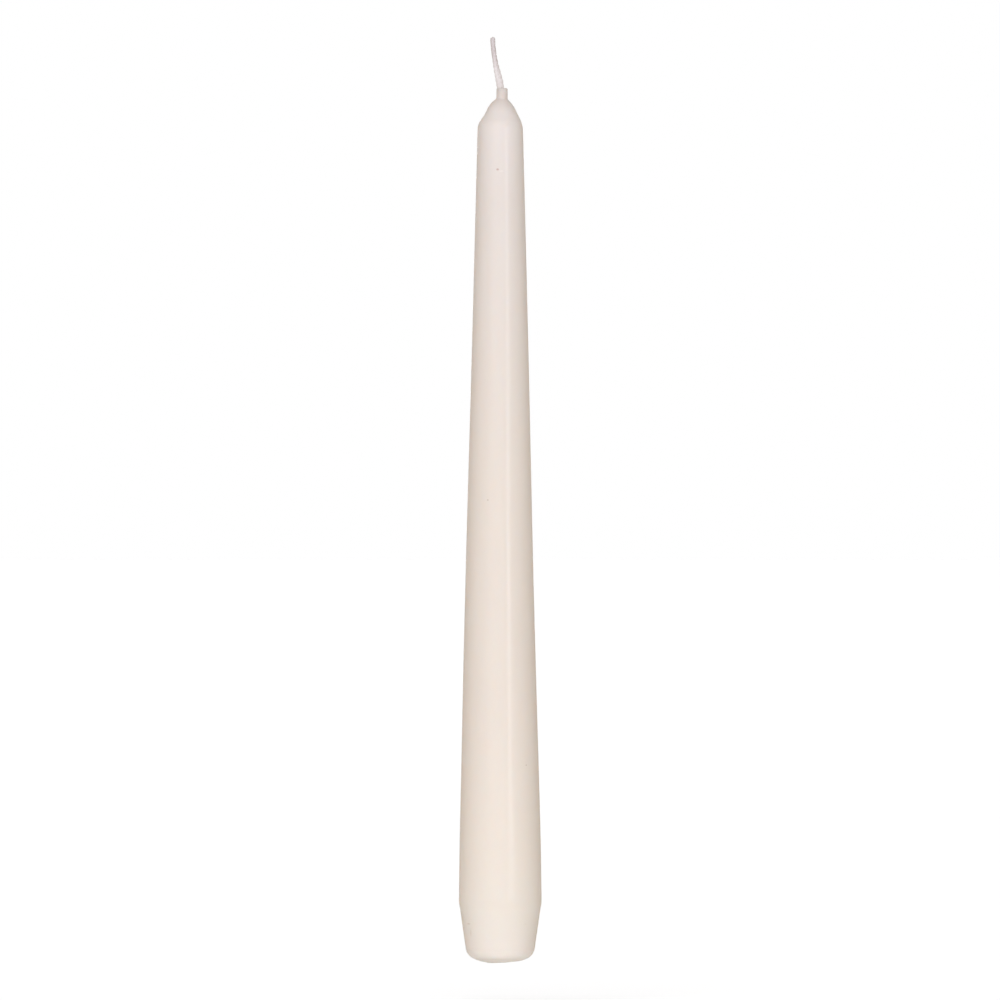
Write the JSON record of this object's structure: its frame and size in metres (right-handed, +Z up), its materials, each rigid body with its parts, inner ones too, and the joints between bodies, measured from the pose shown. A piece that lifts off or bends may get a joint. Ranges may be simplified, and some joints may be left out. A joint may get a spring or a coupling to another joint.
{
  "type": "taper candle",
  "caption": "Unlit off-white taper candle with a conical self-fitting plug, dipped tip and short leaning braided wick.",
  "frame": {"origin": "middle of the plug's lower end, on the candle's axis", "axes": "+Z up along the candle towards the wick; the wick leans towards -X"},
  "size_m": [0.0236, 0.0236, 0.2646],
  "materials": {
    "wax": "smooth satin paraffin wax, slightly translucent",
    "wick_cotton": "flat braided cotton, waxed"
  },
  "bodies": {
    "root": {"wax_body": "wax", "wick": "wick_cotton"}
  },
  "joints": []
}
